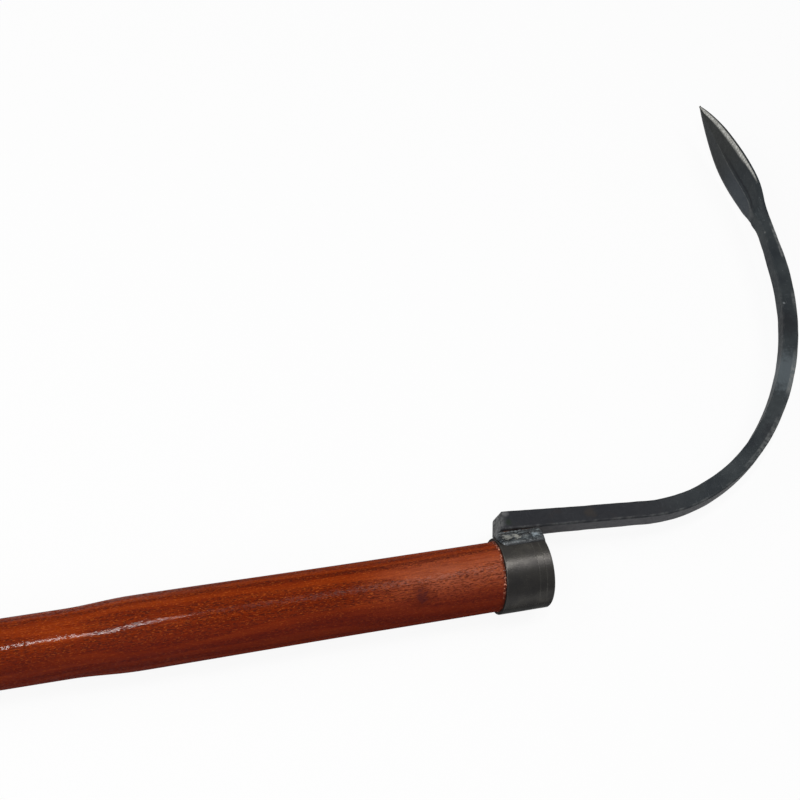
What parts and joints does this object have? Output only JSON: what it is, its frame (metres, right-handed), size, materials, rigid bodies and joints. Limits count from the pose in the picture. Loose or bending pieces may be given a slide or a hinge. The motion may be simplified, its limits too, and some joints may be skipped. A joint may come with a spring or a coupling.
{
  "type": "single-tine cultivator",
  "caption": "Long-handled single-tine cultivator: forged hook tine with a ribbed leaf point, welded to a ring ferrule on a turned wooden handle.",
  "frame": {"origin": "on the handle's axis, in the middle of the straight rear grip", "axes": "+X along the handle towards the head, +Y the way the tine hooks, +Z square to the tine's plane, on the side that faces up when the tool lies down"},
  "size_m": [1.427, 0.3052, 0.038],
  "materials": {
    "varnished_ash": "red-brown stain under gloss varnish",
    "black_ring_steel": "semi-gloss black",
    "forged_steel": "blackened forge scale with a ground edge",
    "weld_metal": "rippled, blued weld metal",
    "bare_wood": "bare hardwood",
    "wedge_steel": "hammered bare steel"
  },
  "bodies": {
    "root": {"handle": "varnished_ash", "ferrule": "black_ring_steel", "tine": "forged_steel", "weld_bead_near": "weld_metal", "weld_bead_far": "weld_metal", "wooden_wedge": "bare_wood", "steel_wedge": "wedge_steel"}
  },
  "joints": []
}
